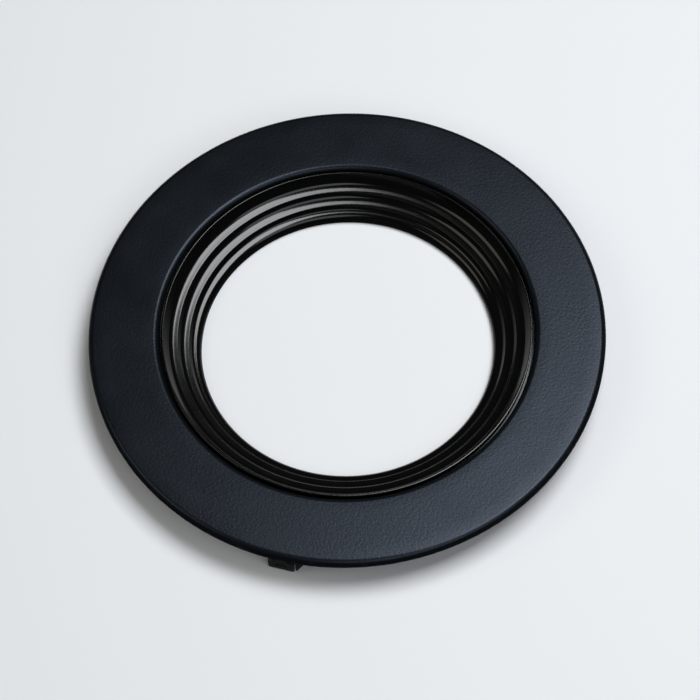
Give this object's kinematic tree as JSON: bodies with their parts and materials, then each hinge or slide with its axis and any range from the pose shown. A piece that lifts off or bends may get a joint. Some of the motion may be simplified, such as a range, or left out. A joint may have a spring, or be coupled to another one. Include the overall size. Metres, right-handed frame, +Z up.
{
  "type": "flanged baffle hood ring",
  "caption": "Clip-on hood ring: wide flat flange with a rounded rim, stepped anti-glare baffle round a clear opening, and sprung T-headed clips behind the rim.",
  "frame": {"origin": "centre of the baffle's foot ring on the base plane", "axes": "+Z up through the opening towards the flange's face; -Y towards the first clip"},
  "size_m": [0.188, 0.188, 0.0148],
  "materials": {
    "satin_black": "satin powder coat with a fine orange peel",
    "baffle_black": "semi-matt black paint",
    "zinc_screw": "blackened zinc plate",
    "clip_steel": "black e-coat on spring steel",
    "block_nylon": "moulded black nylon",
    "foam": "closed-cell foam"
  },
  "bodies": {
    "ring": {"flange_ring": "satin_black", "baffle_insert": "baffle_black", "baffle_screw_1": "zinc_screw", "gasket_strip_1": "foam", "clip_screw_1": "zinc_screw", "clip_washer_1": "zinc_screw", "clip_foot_1": "clip_steel", "clip_block_1": "block_nylon", "baffle_screw_2": "zinc_screw", "gasket_strip_2": "foam", "clip_screw_2": "zinc_screw", "clip_washer_2": "zinc_screw", "clip_foot_2": "clip_steel", "clip_block_2": "block_nylon", "baffle_screw_3": "zinc_screw", "gasket_strip_3": "foam", "clip_screw_3": "zinc_screw", "clip_washer_3": "zinc_screw", "clip_foot_3": "clip_steel", "clip_block_3": "block_nylon"},
    "clip_1": {"clip_arm_1": "clip_steel"},
    "clip_2": {"clip_arm_2": "clip_steel"},
    "clip_3": {"clip_arm_3": "clip_steel"}
  },
  "joints": [
    {"name": "clip_1_flex", "type": "hinge", "parent": "ring", "child": "clip_1", "pos_m": [0, -0.09065, 0.01115], "axis": [-1, 0, 0], "range_deg": [-3, 6], "stiffness_Nm_per_rad": 0.05},
    {"name": "clip_2_flex", "type": "hinge", "parent": "ring", "child": "clip_2", "pos_m": [0.07851, 0.04532, 0.01115], "axis": [0.5, -0.866, 0], "range_deg": [-3, 6], "stiffness_Nm_per_rad": 0.05},
    {"name": "clip_3_flex", "type": "hinge", "parent": "ring", "child": "clip_3", "pos_m": [-0.07851, 0.04532, 0.01115], "axis": [0.5, 0.866, 0], "range_deg": [-3, 6], "stiffness_Nm_per_rad": 0.05}
  ]
}
